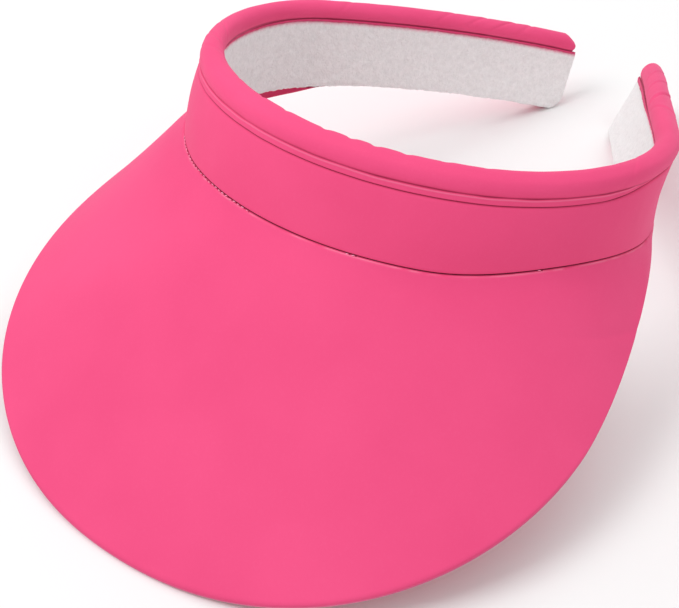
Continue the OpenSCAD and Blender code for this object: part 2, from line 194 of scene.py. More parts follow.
# ---------------------------------------------------------------- from the band's frame to the row frame
up = Vector(next(m for m in frame["record"]["mounts"] if m["name"] == "head_opening")["axis"])
TILT = math.atan2(up.y, up.z)


def turn(p):
    y, z = p[..., 1], p[..., 2]
    return np.stack([p[..., 0], y * math.cos(TILT) + z * math.sin(TILT),
                     z * math.cos(TILT) - y * math.sin(TILT)], -1)


# the roll of the stiff front is what both frames are lined up on
roll_lo, roll_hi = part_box("roll_cover_front")
ring_s, ring_phi = np.linspace(-FLEX_S, FLEX_S, 85)[:, None], np.radians(np.arange(0, 360, 22.5))[None, :]
roll_ring = turn(wall(ring_s, ROLL_R * np.cos(ring_phi), ROLL_R * np.sin(ring_phi))) / 1000
SHIFT = np.array([0, roll_lo[1] - roll_ring[..., 1].min(), roll_hi[2] - roll_ring[..., 2].max()])


def to_rest(p):
    return turn(np.asarray(p, float)) / 1000 + SHIFT


# ---------------------------------------------------------------- noise and profiles for shape
def hash3(i, j, k, seed):
    n = (i * 374761393 + j * 668265263 + k * 2147483647 + seed * 1274126177) & 0xFFFFFFFF
    n = ((n ^ (n >> 13)) * 1274126177) & 0xFFFFFFFF
    return ((n ^ (n >> 16)) & 0xFFFF) / 32767.5 - 1.0


def vnoise(x, y, z=0.0, seed=0):
    """Smooth value noise from -1 to 1."""
    x, y, z = np.broadcast_arrays(np.asarray(x, float), y, z)
    i, j, k = (np.floor(c).astype(np.int64) for c in (x, y, z))
    u, v, w = (c * c * (3 - 2 * c) for c in (x - i, y - j, z - k))
    out = 0
    for a in (0, 1):
        for b in (0, 1):
            for c in (0, 1):
                weight = (u if a else 1 - u) * (v if b else 1 - v) * (w if c else 1 - w)
                out = out + hash3(i + a, j + b, k + c, seed) * weight
    return out


def bell(x, at, width):
    return np.exp(-((x - at) / width) ** 2)


def tuck(u, width):
    """1 at u = 0, falling to 0 at the given width: the shape of an edge that is turned in."""
    return (1 - np.clip(u / width, 0, 1)) ** 2


def bow(u, power=1.0):
    return np.sin(math.pi * np.clip(u, 0, 1)) ** power


def angle_from(phi, degrees):
    return np.angle(np.exp(1j * (phi - math.radians(degrees))))


# ---------------------------------------------------------------- mesh making
def both(a, b):
    """Out along a and back along b: the closed section of a layer."""
    return np.concatenate([a, b[:, ::-1]], 1)


def grid_normals(p):
    """Unit normals of a tube's grid of points, rows along the length."""
    return unit(np.cross(np.gradient(p, axis=0), (np.roll(p, -1, 1) - np.roll(p, 1, 1)) / 2))


def section_uv(s, p):
    """UV in metres: along the band, and around the section."""
    step = np.linalg.norm(np.diff(p, axis=1), axis=-1)
    v = np.concatenate([np.zeros((p.shape[0], 1)), np.cumsum(step, 1)], 1)
    return np.stack([np.broadcast_to(s[:, None] / 1000, v.shape), v], -1)


def mesh_object(name, verts, faces, uv, material, normals=None):
    me = bpy.data.meshes.new(name)
    me.from_pydata(np.asarray(verts).tolist(), [], faces)
    me.update()
    me.polygons.foreach_set("use_smooth", np.ones(len(me.polygons), bool))
    layer = me.uv_layers.new(name="cut")
    loops = np.empty(len(me.loops), np.int64)
    me.loops.foreach_get("vertex_index", loops)
    layer.data.foreach_set("uv", np.asarray(uv, float)[loops].ravel())
    if normals is not None:
        me.normals_split_custom_set_from_vertices(np.asarray(normals).tolist())
    ob = bpy.data.objects.new(name, me)
    bpy.context.scene.collection.objects.link(ob)
    me.materials.append(material)
    return ob


def outward(p, n):
    """1 where the normals of a tube point away from its section centres, otherwise -1."""
    return 1.0 if np.sum((p - p.mean(1, keepdims=True)) * n) > 0 else -1.0


def grid_object(name, p, n, uv, material, shade, caps=(True, True)):
    """A closed tube of quads from a grid of points. shade is how much painted shade the cloth gets in its
    creases and seam lines (below 0, a painted highlight; on the terry, how much pink fluff it holds).
    """
    rows, cols = p.shape[:2]
    sign = outward(p, n)
    i, j = np.meshgrid(np.arange(rows - 1), np.arange(cols), indexing="ij")
    a, b = i * cols + j, i * cols + (j + 1) % cols
    q = np.stack([a, a + cols, b + cols, b], -1).reshape(-1, 4)
    first = list(range(cols))
    last = list(range((rows - 1) * cols, rows * cols))[::-1]
    if sign < 0:
        q, first, last = q[:, ::-1], first[::-1], last[::-1]
    faces = q.tolist() + [end for end, wanted in zip((first, last), caps) if wanted]
    ob = mesh_object(name, p.reshape(-1, 3), faces, uv.reshape(-1, 2), material, (n * sign).reshape(-1, 3))
    if shade is not None:
        values = np.ascontiguousarray(np.broadcast_to(shade, (rows, cols)).ravel(), np.float32)
        # this attribute holds painted shade (below 0, painted highlight), or the terry's pink fluff
        ob.data.attributes.new("crease", "FLOAT", "POINT").data.foreach_set("value", values)
    return ob


def tube(name, s, p, material, shade):
    return grid_object(name, p, grid_normals(p), section_uv(s, p), material, shade)


def band_parts(name, s, off, z, material, shade=None):
    """The front piece and the two arm pieces of one skin that runs round the whole band."""
    p = to_rest(wall(s[:, None], off, z))
    n, uv = grid_normals(p), section_uv(s, p)
    idx = np.nonzero(np.abs(s) <= BLEND_AT + 1e-6)[0]
    lo, hi = idx[0], idx[-1]
    out = []
    for side, cut in (("front", slice(lo, hi + 1)), ("left", slice(hi, len(s))), ("right", slice(0, lo + 1))):
        part = None if shade is None else np.broadcast_to(shade, p.shape[:2])[cut]
        ob = grid_object(f"{name}_{side}", p[cut], n[cut], uv[cut], material, part,
                         caps=(side == "right", side == "left"))
        ob["side"] = side
        out.append(ob)
    return out


def attach(obs):
    """Front pieces ride on the stiff front; arm pieces are baked in place and ride on no body."""
    for ob in obs:
        side = ob["side"]
        if side == "front":
            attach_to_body(ob, "front")
        else:
            g = 1 if side == "left" else -1
            start = to_rest(wall(g * (FLEX_S - BEND_HALF), 0, BEND_Z))
            end = to_rest(wall(g * (FLEX_S + BEND_HALF), 0, BEND_Z))
            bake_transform(ob)


def fit(obs, node):
    """Puts the pieces of one skin in the place of its three nodes."""
    for ob in obs:
        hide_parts(f"{node}_{ob['side']}")
    attach(obs)


def tip_rows(count):
    return HALF - TIP_ROUND + TIP_ROUND * np.sin(np.linspace(0, math.pi / 2, count))[1:]


def stations(step):
    """Places along the band, closer together round the tips."""
    half = np.arange(0, BLEND_AT, step)
    arm = np.linspace(BLEND_AT, HALF - TIP_ROUND, int((HALF - TIP_ROUND - BLEND_AT) / step))
    pos = np.concatenate([half, arm, tip_rows(TIP_ROWS)])
    return np.concatenate([-pos[:0:-1], pos])


# ---------------------------------------------------------------- materials
def srgb(r, g, b):
    return tuple(((c / 255 + 0.055) / 1.055) ** 2.4 if c > 10 else c / 255 / 12.92
                 for c in (r, g, b)) + (1.0,)


SHEEN_PINK = srgb(255, 150, 185)
# painted shade for creases and seam lines, and a painted highlight beside them
PAINTED_SHADE, PAINTED_HIGHLIGHT = srgb(142, 4, 52), srgb(255, 176, 202)


class Nodes:
    def __init__(self, name):
        self.mat = bpy.data.materials.new(name)
        self.mat.use_nodes = True
        self.t = self.mat.node_tree
        self.t.nodes.clear()
        self.out = self.t.nodes.new("ShaderNodeOutputMaterial")
        self.shader = self.t.nodes.new("ShaderNodeBsdfPrincipled")
        self.link(self.shader.outputs[0], self.out.inputs[0])
        self.coord = self.t.nodes.new("ShaderNodeTexCoord")

    def link(self, a, b):
        self.t.links.new(a, b)

    def put(self, value, socket):
        """Links a socket, or sets a plain value."""
        if isinstance(value, bpy.types.NodeSocket):
            self.link(value, socket)
        else:
            socket.default_value = value

    def add(self, kind, **inputs):
        n = self.t.nodes.new(kind)
        for k, v in inputs.items():
            if k.startswith("_"):
                setattr(n, k[1:], v)
            else:
                self.put(v, n.inputs[k])
        return n

    def noise(self, scale, detail=2.0, rough=0.5):
        return self.add("ShaderNodeTexNoise", Vector=self.coord.outputs["Object"], Scale=scale,
                        Detail=detail, Roughness=rough).outputs["Fac"]

    # reads the per-vertex painted shade (below 0, painted highlight), or the terry's pink fluff
    def crease(self):
        return self.add("ShaderNodeAttribute", _attribute_name="crease").outputs["Fac"]

    def ramp(self, fac, stops):
        n = self.add("ShaderNodeValToRGB", Fac=fac)
        for e, (pos, col) in zip(n.color_ramp.elements, stops):
            e.position, e.color = pos, col
        return n.outputs["Color"]

    def math(self, op, a, b=0.0, clamp=False):
        n = self.t.nodes.new("ShaderNodeMath")
        n.operation, n.use_clamp = op, clamp
        self.put(a, n.inputs[0])
        self.put(b, n.inputs[1])
        return n.outputs[0]

    def mix(self, fac, a, b):
        n = self.t.nodes.new("ShaderNodeMix")
        n.data_type = "RGBA"
        for k, v in ((0, fac), (6, a), (7, b)):
            self.put(v, n.inputs[k])
        return n.outputs[2]

    def bump(self, height, strength, distance, normal=None):
        n = self.add("ShaderNodeBump", Height=height, Strength=strength, Distance=distance)
        if normal is not None:
            self.link(normal, n.inputs["Normal"])
        return n.outputs["Normal"]


def weave(k, pitch):
    """Height of a plain weave with threads pitch metres apart, from the cut's own UV."""
    sep = k.add("ShaderNodeSeparateXYZ", Vector=k.coord.outputs["UV"])
    u, v = (k.math("MULTIPLY", sep.outputs[i], math.pi / pitch) for i in (0, 1))
    return k.math("MAXIMUM", k.math("ABSOLUTE", k.math("SINE", u)), k.math("ABSOLUTE", k.math("SINE", v)))


def pink_cloth(name, base, dark, sheen=0.35, pitch=0.00042):
    """Woven microfibre: threads, fuzz and soft broad tone, with painted shade in its creases and seam lines
    and painted highlights beside them.
    """
    k = Nodes(name)
    broad = k.noise(18.0, 3.0)
    fuzz = k.noise(900.0, 2.0, 0.6)
    tone = k.ramp(broad, [(0.3, dark), (0.7, base)])
    threads = weave(k, pitch)
    tone = k.mix(k.math("MULTIPLY", k.math("SUBTRACT", 1.0, threads), 0.10), tone, dark)
    tone = k.mix(k.math("MULTIPLY", k.math("SUBTRACT", fuzz, 0.5), 0.12, clamp=True), tone, SHEEN_PINK)
    # painted shade where the attribute is above 0, painted highlight where it is below 0
    crease = k.crease()
    tone = k.mix(k.math("MULTIPLY", crease, 0.9, clamp=True), tone, PAINTED_SHADE)
    tone = k.mix(k.math("MULTIPLY", crease, -1.0, clamp=True), tone, PAINTED_HIGHLIGHT)
    k.link(tone, k.shader.inputs["Base Color"])
    k.link(k.math("ADD", 0.72, k.math("MULTIPLY", fuzz, 0.12)), k.shader.inputs["Roughness"])
    k.shader.inputs["Sheen Weight"].default_value = sheen
    k.shader.inputs["Sheen Roughness"].default_value = 0.45
    k.shader.inputs["Sheen Tint"].default_value = SHEEN_PINK
    k.shader.inputs["Specular IOR Level"].default_value = 0.25
    thread_bump = k.bump(threads, 0.25, 0.00006)
    fuzz_bump = k.bump(fuzz, 0.25, 0.00008, thread_bump)
    k.link(k.bump(k.noise(120.0, 3.0), 0.35, 0.0003, fuzz_bump), k.shader.inputs["Normal"])
    return k.mat


def terry_material():
    """White towelling: small loops in soft patches, with pink fluff caught in them under the roll."""
    k = Nodes("terry_loops")
    cell = k.add("ShaderNodeTexVoronoi", Vector=k.coord.outputs["Object"], Scale=1300.0).outputs["Distance"]
    patch = k.noise(520.0, 4.0, 0.7)
    broad = k.noise(90.0, 2.0)
    tone = k.ramp(patch, [(0.30, srgb(238, 238, 238)), (0.62, (0.97, 0.97, 0.97, 1.0))])
    tone = k.mix(k.math("MULTIPLY", cell, 0.14, clamp=True), tone, srgb(215, 214, 215))
    tone = k.mix(k.math("MULTIPLY", k.math("SUBTRACT", broad, 0.5), 0.4, clamp=True), tone,
                 srgb(232, 230, 231))
    crease = k.crease()
    fluff = k.math("ADD", crease, k.math("MULTIPLY", k.math("SUBTRACT", k.noise(700.0, 3.0, 0.7), 0.55), 0.9))
    fluff = k.math("MULTIPLY", k.math("MULTIPLY", fluff, crease), 1.3, clamp=True)
    k.link(k.mix(fluff, tone, srgb(238, 104, 150)), k.shader.inputs["Base Color"])
    k.link(k.math("ADD", 0.88, k.math("MULTIPLY", patch, 0.1)), k.shader.inputs["Roughness"])
    k.shader.inputs["Sheen Weight"].default_value = 0.35
    k.shader.inputs["Sheen Roughness"].default_value = 0.6
    k.shader.inputs["Specular IOR Level"].default_value = 0.1
    loop_bump = k.bump(k.math("SUBTRACT", 1.0, cell), 0.5, 0.0004)
    k.link(k.bump(patch, 0.6, 0.0006, loop_bump), k.shader.inputs["Normal"])
    return k.mat


def plain(name, color, rough):
    """Foam and moulded plastic: a mottled tone with a faint grain."""
    k = Nodes(name)
    n = k.noise(260.0, 3.0)
    k.link(k.mix(k.math("MULTIPLY", n, 0.2), color, tuple(c * 0.85 for c in color[:3]) + (1,)),
           k.shader.inputs["Base Color"])
    k.link(k.math("ADD", rough - 0.05, k.math("MULTIPLY", n, 0.1)), k.shader.inputs["Roughness"])
    k.link(k.bump(n, 0.15, 0.0002), k.shader.inputs["Normal"])
    return k.mat


brim_mat = pink_cloth("brim_cloth", srgb(246, 82, 136), srgb(239, 75, 129))
band_mat = pink_cloth("band_cloth", srgb(247, 82, 135), srgb(240, 75, 128))
roll_mat = pink_cloth("roll_cloth", srgb(247, 83, 136), srgb(239, 75, 128), pitch=0.00038)
# a darker copy of the pink cloth: painted shade on the brim's under side
lining_shaded_mat = pink_cloth("lining_cloth_shaded", srgb(226, 58, 108), srgb(214, 50, 98), sheen=0.2)
thread_mat = pink_cloth("thread", srgb(255, 178, 205), srgb(255, 150, 188), pitch=0.0003)
terry_mat = terry_material()
foam_mat = plain("foam", srgb(240, 235, 222), 0.9)
board_mat = plain("board_plastic", srgb(232, 232, 228), 0.5)
strip_mat = plain("strip_plastic", srgb(240, 240, 240), 0.45)
welt_mat = pink_cloth("welt_cloth", srgb(232, 120, 158), srgb(222, 104, 146), sheen=0.6)
# the needle holes' dark colour is painted shade
hole_shade_mat = plain("pinhole", srgb(140, 6, 54), 0.95)

# ---------------------------------------------------------------- roll
RISE = 0.9                             # along the right arm the edge of roll and terry sits this much higher
RISE_FROM, RISE_TO = -110, -160
# notches the thread pulls into the top edge: place, depth
NOTCHES = ((-27, .3), (-14, .35), (4, .5), (14, .46), (23, .55), (34, .5), (47, .25), (61, .2), (-45, .2))
# folds across the roll on its way round to the arms: place, lean, depth
FOLDS = ((-258, 9, .35), (-243, 8, .3), (-226, 7, .22), (-268, 6, .25), (-176, 5, .16), (-98, 7, .25),
         (-84, 8, .28), (-72, 7, .2), (214, -4, .75), (238, -6, .35), (262, -8, .3), (192, 5, .3),
         (120, 6, .16))
NOTCH_W, FOLD_W = 1.5, 1.1
SLIMMER = 0.42                         # over the top and inside, against where it bears on the band
TIP_FOLD, TIP_CLOSE = 6.0, 1.8         # lengths over which the tip is cut down and closed
TIP_SHORT, TIP_LONG = 1.6, 0.6         # the left tip ends shorter, the right one longer

s = stations(1.0)
phi = np.linspace(0, 2 * math.pi, 73)[:-1]        # 0 outward, 90 degrees up
S, PHI = np.meshgrid(s, phi, indexing="ij")
r = np.full_like(S, ROLL_R)
r += 0.12 * vnoise(S / 17, np.cos(PHI) * 1.3, np.sin(PHI) * 1.3, 3)
r += 0.05 * vnoise(S / 5, np.cos(PHI) * 2, np.sin(PHI) * 2, 4)
r -= SLIMMER * smooth(0.35, -0.35, np.cos(PHI - math.radians(-45)))
r -= (RISE * smooth(RISE_FROM, RISE_TO, S) * bell(angle_from(PHI, 236), 0, 0.7)
      + 0.35 * bell(S, -190, 45) * bell(angle_from(PHI, 0), 0, 0.9))
top_in = bell(angle_from(PHI, 132), 0, 0.62)
for at, deep in NOTCHES:
    r -= deep * top_in * bell(S, at, NOTCH_W)
    r += 0.2 * deep * top_in * bell(S, at + 4.2, 3.4)
over_top = bell(angle_from(PHI, 90), 0, 1.6)
for at, lean, deep in FOLDS:
    line = S - at - lean * angle_from(PHI, 90)
    r -= deep * over_top * bell(line, 0, FOLD_W)
    r += 0.4 * deep * over_top * bell(line, 3.0, 2.2)
# folded tip: the end is cut down slantwise and pinched
e = np.clip((np.abs(S) - (HALF - TIP_FOLD)) / TIP_FOLD, 0, 1)
off_r, z_r = r * np.cos(PHI), r * np.sin(PHI)
z_r = np.where(z_r > 0, z_r * (1 - np.where(S < 0, 0.72, 0.9) * e ** 1.3), z_r * (1 - 0.12 * e ** 3))
off_r = off_r * (1 - 0.22 * e ** 4)
closing = np.clip((np.abs(S) - (HALF - TIP_CLOSE)) / TIP_CLOSE, 0, 1)
shut = np.sqrt(np.maximum(1 - 0.96 * closing ** 2, 0))
off_r, z_r = off_r * shut, z_r * shut
# shadow lines where the roll meets the flange (outside) and its own edge (inside)
flange_on = smooth(0, 24, FLANGE_LEN + 14 - np.abs(S))
shade_r = ((0.5 + 0.6 * smooth(-40, 20, S)) * bell(angle_from(PHI, -35), 0, 0.12) * (0.35 + 0.65 * flange_on)
           + 0.85 * bell(angle_from(PHI, 213), 0, 0.13))
shade_r = np.maximum(shade_r, 0.3 * smooth(0.75, 1.0, closing))
s_end = s + np.where(s > 0, -TIP_SHORT, TIP_LONG) * smooth(HALF - 12, HALF, np.abs(s))
fit(band_parts("roll", s_end, off_r, z_r, roll_mat, shade_r), "roll_cover")

# ---------------------------------------------------------------- the cloth edge between roll and terry
EDGE_TOP, EDGE_IN = -3.0, -3.15
EDGE_WIDE, EDGE_WIDER = 1.0, 1.1       # its height, and how much higher it is at the left arm

s_l = stations(1.0)
s_l = s_l[np.abs(s_l) < HALF - 0.5]
col = s_l[:, None]
near = smooth(185, 235, col)
wide = (EDGE_WIDE + EDGE_WIDER * smooth(190, 250, col) + 0.16 * vnoise(col / 1.7, 0, 0, 51)
        + 0.12 * vnoise(col / 6, 0, 0, 52))
wide = wide * (1 - 0.35 * smooth(HALF - 3, HALF, np.abs(col)))
u = np.concatenate([np.linspace(0, 1, 9), np.linspace(1, 0, 5)[1:]])[None, :]
front_row = np.concatenate([np.ones(9), np.zeros(4)])[None, :]
z_l = EDGE_TOP + RISE * smooth(RISE_FROM, RISE_TO, col) - wide * u
off_l = (EDGE_IN - front_row * ((0.10 + 0.28 * near) * bow(u, 0.7) + 0.05 + 0.07 * near)
         + 0.08 * vnoise(col / 2.3, 1, 0, 53))
shade_l = np.where(u < 0.14, 0.95, 0.22 + 0.2 * u * near)
fit(band_parts("roll_edge", s_l, off_l, z_l, roll_mat, shade_l), "roll_cover")

# ---------------------------------------------------------------- band cover
COVER_BACK = 0.8                       # how thick the cover's cloth is built
COVER_SWELL = 0.72                     # how far the foam behind pushes it out
HOLLOW, HOLLOW_AT = 1.9, 158.0         # how far it draws in behind the temples, and where
TOP_FREE = -2.8                        # its top edge where there is no flange over it
PLAIN_FROM, PLAIN_TO = -80, -58        # right of this the seam fades into one soft fold

s_c = stations(1.25)
col = s_c[:, None]
top = ((FLANGE_LOW - 0.05) + (TOP_FREE - (FLANGE_LOW - 0.05))
       * smooth(FLANGE_LEN - 12, FLANGE_LEN + 16, np.abs(col)))
on_brim = np.abs(col) < TAIL_S - 1
low = np.where(on_brim, seam_z(col) - 0.12, band_low(col))
u = np.concatenate([[0, 0.006, 0.014, 0.026, 0.045, 0.075], np.linspace(0.11, 0.89, 22),
                    [0.925, 0.955, 0.975, 0.988, 0.996, 1.0]])[None, :]
z = top + (low - top) * u
soft_end = smooth(PLAIN_FROM, PLAIN_TO, col)
tucked = 0.75 * tuck(u, 0.045) + np.where(on_brim, 0.55 - 0.3 * (1 - soft_end), 1.0) * tuck(1 - u, 0.035)
swell = bow(u, 0.7)
hollow = HOLLOW * bell(np.abs(col), HOLLOW_AT, 24) * bow(u, 0.8)
off = COVER_OUT + 0.12 + COVER_SWELL * swell - tucked - hollow
off = off + bow(u, 0.5) * (0.20 * vnoise(col / 15, z / 9, 0, 11) + 0.05 * vnoise(col / 4, z / 5, 0, 12))
off = off + 0.06 * (1 - u) ** 2 * vnoise(col / 2.4, z / 16, 0, 13) * swell
shade_c = (1.1 * bell(u, 0, 0.011)
           + np.where(on_brim, 0.8, 0.2) * bell(u, 1, 0.008) * (0.15 + 0.85 * soft_end))
fit(band_parts("band_cloth", s_c, both(off, off - COVER_BACK), both(z, z), band_mat, both(shade_c, shade_c)),
    "band_cover")

# the lower hem of each arm, turned in to the terry
HEM_OUT, HEM_T = 3.6, 0.8
for sign, side in ((1, "left"), (-1, "right")):
    s_h = sign * np.concatenate([np.linspace(TAIL_S - 0.5, HALF - TIP_ROUND, 90), tip_rows(17)])
    if sign < 0:
        s_h = s_h[::-1]
    across = np.linspace(0, 1, 9)[None, :]
    off = (HEM_OUT + (TERRY_OUT - HEM_OUT) * across) + 0 * s_h[:, None]
    z = band_low(s_h)[:, None] - 0.25 * np.sin(math.pi * across) + 0.1
    p = to_rest(wall(s_h[:, None], both(off, off), both(z, z + HEM_T)))
    hem = tube(f"arm_hem_{side}", s_h, p, band_mat, 0.15)
    hem["side"] = side
    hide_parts("band_cover_" + side)
    attach([hem])

# ---------------------------------------------------------------- flange strip
FLANGE_FADE = 18.0                     # it runs out over this length past its flat part
FLANGE_OUT, FLANGE_T = 0.28, 0.6       # how far it stands off the cover, and its thickness

flange_end = FLANGE_LEN + FLANGE_FADE
s_f = np.arange(-flange_end, flange_end + 0.1, 1.0)
col = s_f[:, None]
end = smooth(0, 34, flange_end - np.abs(col))
u = np.array([0, .05, .12, .22, .35, .5, .65, .78, .88, .95, 1.0])[None, :]
top = FLANGE_TOP + 0.35 + 0.12 * vnoise(col / 7, 0, 0, 21)
low = top + (FLANGE_LOW - 0.1 - top) * (0.3 + 0.7 * end)
z = top + (low - top) * u
off = (COVER_OUT + FLANGE_OUT - 0.85 * (1 - end) - 0.5 * tuck(u, 0.12) - 0.55 * tuck(1 - u, 0.14)
       + 0.16 * bell(u, 0.2, 0.16) + 0.09 * vnoise(col / 6, z / 3, 0, 22))
shade_f = ((0.4 + 0.5 * smooth(-40, 20, col)) * bell(u, 0, 0.07) - 0.28 * bell(u, 0.2, 0.08)
           + 1.05 * bell(u, 1, 0.07))
flange = tube("roll_flange_strip", s_f, to_rest(wall(col, both(off, off - FLANGE_T), both(z, z))), band_mat,
              both(shade_f, shade_f))
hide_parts("roll_flange")
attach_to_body(flange, "front")

# ---------------------------------------------------------------- terry sweatband
TERRY_TOP = -3.5
FLUFF_DEPTH = 2.0                      # how far down the pink fluff reaches

s_t = stations(0.95)
col = s_t[:, None]
low = band_low(col)
u = np.linspace(0, 1, 34)[None, :]
terry_top = TERRY_TOP + RISE * smooth(RISE_FROM, RISE_TO, col)
z_in = terry_top + (low - 0.9 * bell(col, -158, 26) - terry_top) * u
nap = (0.20 * vnoise(col / 0.95, z_in / 0.95, 0, 31) + 0.14 * vnoise(col / 2.6, z_in / 2.6, 0, 32)
       + 0.22 * vnoise(col / 14, z_in / 11, 0, 33))
off_in = TERRY_IN - 0.15 + nap + 1.1 * tuck(1 - u, 0.07) + 0.5 * tuck(u, 0.05)
z_in = z_in + 0.22 * vnoise(col / 1.1, 0, 0, 34) * np.clip((u - 0.9) / 0.1, 0, 1)
z_out = z_in[:, ::-1]
off_out = TERRY_OUT - 0.25 * (1 - np.clip((1 - u[:, ::-1]) / 0.05, 0, 1)) + 0 * z_out
fluff = np.clip(1.2 - (terry_top - z_in) / FLUFF_DEPTH, 0, 1) * (u < 0.3)
fit(band_parts("terry_band", s_t, np.concatenate([off_out, off_in], 1), np.concatenate([z_out, z_in], 1),
               terry_mat, np.concatenate([0 * z_out, fluff], 1)), "sweatband")


# ---------------------------------------------------------------- foam, spring strip and cord
def box_section(top, low, out, inner):
    """A thin rectangular section, as offsets and heights around its loop."""
    z1 = top + (low - top) * np.linspace(0, 1, 6)[None, :]
    return np.concatenate([out + 0 * z1, inner + 0 * z1], 1), both(z1, z1)


CORD_R, INNER_END = 3.0, 10.0          # cord and strip stop this far before the tips
s_i = stations(2.5)
s_i = s_i[np.abs(s_i) <= HALF - 1.2]
col = s_i[:, None]
low_i = np.where(np.abs(col) < TAIL_S - 1, seam_z(col) + 0.5, band_low(col) + 1.4)
flat = 0 * low_i
cord_phi = np.linspace(0, 2 * math.pi, 17)[:-1][None, :]
foam_out = 2.8 - 1.7 * bell(np.abs(col), HOLLOW_AT, 30)
sections = {
    "band_foam": (*box_section(-4.7 + flat, low_i, foam_out, 0.75), foam_mat, 0.0),
    "spring_strip": (*box_section(-5.2 + flat, -21.5 + flat, 0.45, -0.3), strip_mat, INNER_END),
    "roll_cord": (CORD_R * np.cos(cord_phi) + flat, CORD_R * np.sin(cord_phi) + flat, foam_mat, INNER_END),
}
for name, (off, z, material, stop) in sections.items():
    keep = np.abs(s_i) <= HALF - stop
    fit(band_parts(name + "_inner", s_i[keep], off[keep], z[keep], material), name)

# ---------------------------------------------------------------- folds that close the ends of the arms
FOLD_MID, FOLD_HALF = 1.65, 2.15       # middle and half width of the fold across the arm
for sign, side in ((1, "left"), (-1, "right")):
    zc = np.linspace(-2.4, -ARM_DEPTH + 0.5, 34)
    corner = np.clip(CORNER - (zc + ARM_DEPTH), 0, CORNER)
    edge = HALF - (CORNER - np.sqrt(np.maximum(CORNER ** 2 - corner ** 2, 0)))
    ang = np.linspace(-90, 90, 15)
    loop_o = np.concatenate([FOLD_MID + FOLD_HALF * np.sin(np.radians(ang)), [3.8, -0.5]])
    loop_s = np.concatenate([-0.9 + 0.95 * np.cos(np.radians(ang)), [-4.0, -4.0]])
    wobble = 0.10 * vnoise(zc / 3.0, 0, 0, 71)[:, None]
    taper = np.clip((zc + ARM_DEPTH) / 1.2, 0.45, 1)[:, None]
    p = to_rest(wall(sign * (edge[:, None] + (loop_s[None, :] + wobble)),
                     FOLD_MID + (loop_o[None, :] - FOLD_MID) * taper, zc[:, None] + 0 * loop_o[None, :]))
    shade_p = 0.45 * (np.abs(np.concatenate([ang, [90, 90]])) > 72)[None, :] + 0.06
    fold = tube(f"tip_fold_cloth_{side}", zc, p, band_mat, shade_p)
    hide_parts("tip_fold_" + side)
    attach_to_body(fold, side + "_arm")

# ---------------------------------------------------------------- brim
LAYER_T = 0.7                          # how thick each cover's cloth is built
RIM_DRAW, RIM_W = 1.15, 2.2            # how far the faces draw together at the rim, and over what width
ROOT_IN, ROOT_DROP, ROOT_T = 0.1, 1.9, 0.6        # where the under cover is sewn in behind the seam
TAIL_THIN = 0.62                       # how much thinner the brim is at its tails

sweep = 0.35 * math.pi / 2             # packs the rows closer towards the tails
g = np.sin(np.linspace(-1, 1, 301) * sweep) / math.sin(sweep)
w = np.linalg.norm(brim_flat(g, np.ones_like(g)) - brim_flat(g, np.zeros_like(g)), axis=-1)[:, None]
near_seam = np.array([0, 0.2, 0.4, 0.65, 0.95, 1.35, 1.9, 2.7, 3.8])[None, :]
near_edge = np.array([3.6, 2.6, 1.9, 1.4, 1.0, 0.65, 0.35, 0.12, 0.0])[None, :]
k = np.linspace(0, 1, 62)[None, 1:-1]
scale = np.minimum(1, w / 8.0)
d_seam = np.concatenate([near_seam * scale, 3.8 * scale + (w - 7.4 * scale) * k, w - near_edge * scale], 1)
v = d_seam / w
G = np.broadcast_to(g[:, None], v.shape)
SB = G * TAIL_S
d_edge = w - d_seam
rim = np.clip(d_edge / RIM_W, 0, 1)
draw = RIM_DRAW * (1 - np.sqrt(np.clip(1 - (1 - rim) ** 2, 0, 1)))
right_side = smooth(-70, -125, SB)
valley = (0.42 * bell(d_seam, 0, 0.55) - 0.16 * bell(d_seam, 1.5, 0.8) + 0.18 * bell(d_seam, 6.5, 3.5)
          + 0.5 * right_side * bell(d_seam, 2.5, 3.2))
ripple = (0.16 * vnoise(SB / 24, d_seam / 28, 0, 41)
          + 0.03 * vnoise(SB / 6, d_seam / 7, 0, 42) * bell(d_seam, 4, 9))
pull = 0.06 * vnoise(SB / 2.3, d_seam / 8, 0, 43) * bell(d_seam, 2.5, 3.0)
soft_fold = 0.28 * bell(d_seam - 27 - 0.16 * (SB - 118), 0, 2.0) * bell(SB, 118, 26)
thin = 1 - TAIL_THIN * smooth(0.91, 1.0, np.abs(G))
top_d = (draw + valley + ripple + pull + soft_fold) * thin
under_d = (BRIM_T - draw + 0.06 * vnoise(SB / 18, d_seam / 22, 0, 44)) * thin
under_d = np.maximum(under_d + 0.9 * bell(SB, -150, 22), top_d + 0.35)
layer = np.minimum(LAYER_T, (under_d - top_d) * 0.42)
TOP, TOP_IN, UNDER_IN, UNDER = (to_rest(brim_surface(G, v, d))
                                for d in (top_d, top_d + layer, under_d - layer, under_d))
uv_b = np.stack([SB / 1000 * (1 + 0.3 * v), d_seam / 1000], -1)
soft_b = 0.1 + 0.9 * smooth(PLAIN_FROM, PLAIN_TO, SB)
lit = np.clip(0.6 + 0.8 * vnoise(SB / 3.1, 0, 0, 61), 0, 1)
shade_b = ((0.9 * bell(d_seam, 0, 0.21) - 0.5 * lit * bell(d_seam, 0.72, 0.2)) * soft_b
           + 0.12 * bell(d_edge, 0.3, 0.7))
loop = both(TOP, TOP_IN)
top_cover = grid_object("brim_top_cloth", loop, grid_normals(loop), both(uv_b, uv_b), brim_mat,
                        both(shade_b, shade_b))
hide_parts("brim_top_cover")
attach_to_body(top_cover, "front")

